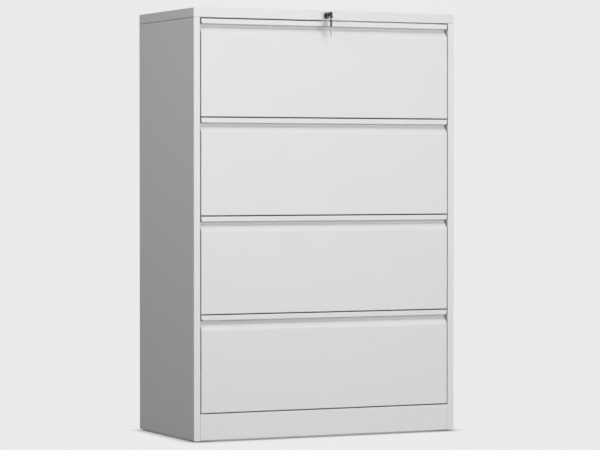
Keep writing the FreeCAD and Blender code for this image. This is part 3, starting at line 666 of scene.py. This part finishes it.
def nickel_plate(name, colour, gloss):
    """Nickel on brass or spring steel, tumbled: the eye sees a warm grey metal whose highlights are
    broken by random scratches. Scratches of 0.1 mm are drawn at 0.7 mm."""
    material = empty_material(name)
    place = add(material, "ShaderNodeTexCoord").outputs["Object"]
    scratch = add(material, "ShaderNodeTexNoise", Vector=place, Scale=1 / (0.7 * mm), Detail=3.0,
                  Distortion=1.5)
    rough = add(material, "ShaderNodeMapRange", Value=scratch.outputs["Fac"], To_Min=gloss - 0.05,
                To_Max=gloss + 0.12)
    bump = add(material, "ShaderNodeBump", Strength=0.2, Distance=0.02 * mm, Height=scratch.outputs["Fac"])
    shade = add(material, "ShaderNodeBsdfPrincipled", Base_Color=linear(colour), Metallic=1.0,
                Roughness=rough.outputs["Result"], Normal=bump.outputs["Normal"])
    return finished(material, shade.outputs[0])


black_lacquer = lacquer("black_lock_lacquer", "#141415", 0.30)
nickel = nickel_plate("tumbled_nickel", "#c9c6c0", 0.20)
barrel_low, barrel_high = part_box("lock_barrel")
lock_x = (barrel_low.x + barrel_high.x) / 2
lock_z = (barrel_low.z + barrel_high.z) / 2
bezel_radius = (barrel_high.x - barrel_low.x) / 2
bezel_edge = 0.9 * mm        # round of the bezel, and the countersink of the bore
barrel_radius = 8 * mm
bore_radius = 5.6 * mm
fine_pitch = 1.0 * mm
fine_depth = 0.35 * mm
barrel_chamfer = 0.4 * mm


def on_lock_axis(across, up, along):
    """Across the lock, up, and along its axis into the cabinet."""
    return lock_x + across, along, lock_z + up


def barrel_thread(along, turn):
    """Fine thread on the barrel behind the header; none on the bezel or in the bore."""
    phase = ((along - front_y) / fine_pitch - turn / (2 * np.pi)) % 1
    threaded = (along > front_y + 2.0 * mm) & (along < barrel_high.y - 0.5 * mm)
    return -fine_depth * np.abs(2 * phase - 1) * threaded


bezel = rounded([(barrel_low.y + bezel_edge, bore_radius), (barrel_low.y, bore_radius + bezel_edge),
                 (barrel_low.y, bezel_radius), (front_y, bezel_radius), (front_y, barrel_radius)],
                [0.2 * mm, bezel_edge, 0.1 * mm], margin=0.2 * mm)
screw_levels = np.linspace(front_y + 0.5 * mm, barrel_high.y - barrel_chamfer, 120)
barrel_end = [(barrel_high.y, barrel_radius - barrel_chamfer), (barrel_high.y, bore_radius)]
barrel_line = np.concatenate([bezel, [(y, barrel_radius) for y in screw_levels], barrel_end])
bore_line = [(barrel_high.y, bore_radius), (barrel_low.y + bezel_edge, bore_radius)]
piece("lock_barrel_shell", [turned(barrel_line, on_lock_axis, 64, barrel_thread),
                            turned(bore_line, on_lock_axis)],
      black_lacquer, "cabinet", ["lock_barrel"])
# The plug's nickel is coloured much darker than the keys' nickel.
coated("lock_plug", nickel_plate("darker_nickel_plug", "#6b6a67", 0.34))


# ==== Keys and ring =========================================================================
# Two keys, each a nickelled blade with a moulded black bow, on a split ring of spring wire. One
# key is in the lock. The other hangs from the ring, so it rides on the ring's body.
bow_plastic = moulded_plastic("black_abs_bow", "#161617", 0.36)
bow_low, bow_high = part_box("key_bow")
blade_low, blade_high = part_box("key_blade")
bow_half = (bow_high.z - bow_low.z) / 2
bow_length = bow_high.y - bow_low.y
bow_thick = bow_high.x - bow_low.x
bow_corner = 5 * mm
bow_edge = 0.8 * mm
hole_radius = 4 * mm
hole_along = 7 * mm          # the hole's middle from the bow's end
blade_tall = blade_high.z - blade_low.z
blade_thick = blade_high.x - blade_low.x
blade_reach = blade_high.y - bow_high.y
blade_root = 0.5 * mm        # length of blade inside the bow
bow_dish = 0.25 * mm         # hollow of the bow's faces
tip_length = 2.4 * mm
tip_fall = 1.6 * mm          # of the blade's upper edge at the tip
tip_rise = 1.8 * mm          # and of its lower edge
cut_pitch = 3.6 * mm
deep_cut = 1.5 * mm
shallow_cut = 0.9 * mm
cuts_from = 1.4 * mm         # first and last cut, measured from the tip
cuts_to = 4.6 * cut_pitch


def bow_grid():
    """Bow in its own plane: rings of points that run from the hole's edge to the rounded outline and
    over both faces. a is along the key from the bow's end, b across it, c through its thickness. Each
    ray from the middle is scaled to the box round the bow, and what lies past the corners' centres is
    brought to their radius."""
    steps = 96
    turn = np.linspace(0, 2 * np.pi, steps + 1)[:-1]
    ray = np.stack([np.cos(turn), np.sin(turn)], -1)
    hole_middle = np.array([hole_along, 0])
    middle = np.array([bow_length / 2, 0])
    half_size = np.array([bow_length / 2, bow_half])
    on_box = ray * np.min(half_size / np.maximum(np.abs(ray), 1e-9), axis=1, keepdims=True)
    core = np.clip(on_box, bow_corner - half_size, half_size - bow_corner)
    away = on_box - core
    length = np.linalg.norm(away, axis=1, keepdims=True)
    rim = middle + core + away / np.maximum(length, 1e-9) * bow_corner
    inward = (middle - rim) / np.linalg.norm(middle - rim, axis=1, keepdims=True)
    rounding = np.linspace(0, np.pi / 2, 5)
    hole_edge = bow_edge / 2
    top = bow_thick / 2
    rings = [(hole_middle + ray * (hole_radius + hole_edge * (1 - np.cos(angle))),
              top - hole_edge * (1 - np.sin(angle))) for angle in rounding]
    inner = hole_middle + ray * (hole_radius + hole_edge)
    outer = rim + inward * bow_edge
    rings += [(inner + (outer - inner) * share, top - bow_dish * math.sin(math.pi * share))
              for share in (0.25, 0.5, 0.75)]
    rings += [(rim + inward * bow_edge * (1 - np.cos(angle)), top - bow_edge * (1 - np.sin(angle)))
              for angle in rounding[::-1]]
    upper = np.array([np.concatenate([flat, np.full((steps, 1), level)], 1) for flat, level in rings])
    return np.concatenate([upper, upper[::-1] * [1, 1, -1]])


def blade_grid():
    """Blade: a rounded section carried along it. Its lower edge is cut by notches, a triangle wave of
    the distance from the tip, deep and shallow in turn, and a milled groove runs down each side."""
    along = np.linspace(0, blade_reach, 150)
    from_tip = blade_reach - along
    tip = np.clip(from_tip / tip_length, 0, 1)
    wave = np.abs((from_tip / cut_pitch) % 1 - 0.5) * 2
    depth = np.where(np.floor(from_tip / cut_pitch).astype(int) % 2 == 0, deep_cut, shallow_cut)
    bitted = (from_tip > cuts_from) & (from_tip < cuts_to)
    notch = np.clip(wave * 1.6 - 0.6, 0, 1) * depth * bitted
    top = blade_tall / 2 - (1 - tip) * tip_fall
    bottom = -blade_tall / 2 + notch + (1 - tip) * tip_rise
    section = rounded([(0, 1), (1, 1), (1, -1), (0, -1)], [0.12, 0.12], 4)
    section = np.concatenate([section[:6], [(1, 0.35), (0.55, 0.25), (0.55, -0.1), (1, -0.2)], section[6:]])
    loop = np.concatenate([section, section[::-1][1:-1] * [-1, 1]])
    share = (loop[:, 1] + 1) / 2
    b = bottom[:, None] + (top - bottom)[:, None] * share
    c = np.repeat(loop[None, :, 0] * blade_thick / 2, len(along), 0)
    a = np.repeat(along[:, None], len(loop), 1)
    return np.stack([a, b, c], -1)


def in_lock(points):
    """Key in the lock: its length runs into the cabinet, its flat stands upright."""
    a, b, c = np.moveaxis(points, -1, 0)
    return np.stack([lock_x + c, bow_low.y + a, lock_z + b], -1)


bow_points = bow_grid()
blade_points = blade_grid() + [bow_length - blade_root, 0, 0]


def key_pieces(name, placed, body, replaced_bow, replaced_blade):
    """A key's bow and blade, placed by a function of points."""
    piece(name + "_bow", [(placed(bow_points), True, True)], bow_plastic, body, replaced_bow)
    blade = placed(blade_points)
    piece(name + "_blade", [(blade, False, True)], nickel, body, replaced_blade,
          flats=[blade[0], blade[-1][::-1]], crease=30)


key_pieces("key_in_lock", in_lock, "key", ["key_bow"], ["key_blade"])

ring_low, ring_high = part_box("key_ring")
wire = 1.6 * mm              # both turns together
turn_gap = 0.05 * mm
ring_twist = math.radians(-20)
wire_start = 0.35 * math.pi  # angle of the wire's first end
cross_start = 1.7 * math.pi  # the wire crosses over from one turn to the next here,
cross_length = 0.6 * math.pi     # through this angle
ring_radius = (ring_high.z - ring_low.z) / 2 - wire / 2
ring_middle = (np.array(ring_low) + np.array(ring_high)) / 2


def split_ring():
    """Spring wire wound twice: a helix of two turns about the ring's axis, its ends ground flat. The
    section is half as thick as the pair, so the two turns lie side by side, a hair apart."""
    turn = np.linspace(0, 4 * np.pi, 241)
    around = np.linspace(0, 2 * np.pi, 17)[:-1]
    settle = 0.5 - 0.5 * np.cos(np.pi * np.clip((turn - cross_start) / cross_length, 0, 1))
    offset = (settle - 0.5) * (wire / 2 + turn_gap)
    radial = ring_radius + wire / 2 * np.cos(around)[None, :]
    axial = offset[:, None] + wire / 4 * np.sin(around)[None, :]
    angle = turn[:, None] + wire_start
    x = radial * np.cos(angle)
    along_x = x * math.cos(ring_twist) - axial * math.sin(ring_twist)
    along_y = x * math.sin(ring_twist) + axial * math.cos(ring_twist)
    return np.stack([ring_middle[0] + along_x, ring_middle[1] + along_y,
                     ring_middle[2] + radial * np.sin(angle)], -1)


coil = split_ring()
piece("split_ring", [(coil, False, True)], nickel, "key_ring", ["key_ring"],
      flats=[coil[0], coil[-1][::-1]])


def hanging(points):
    """Spare key: the hole's edge rests on the ring's lowest wire, the blade points down, and the flat
    stands across the ring."""
    a, b, c = np.moveaxis(points, -1, 0)
    down = a - (hole_along - hole_radius)
    return np.stack([ring_middle[0] + c * math.cos(ring_twist) - b * math.sin(ring_twist),
                     ring_middle[1] + c * math.sin(ring_twist) + b * math.cos(ring_twist),
                     ring_low.z + wire - down], -1)


key_pieces("spare_key", hanging, "key_ring", [], [])


# ==== Colour and size =======================================================================
# Colours are shown as they are, with no film curve.
bpy.context.scene.view_settings.view_transform = "Standard"
low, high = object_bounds()
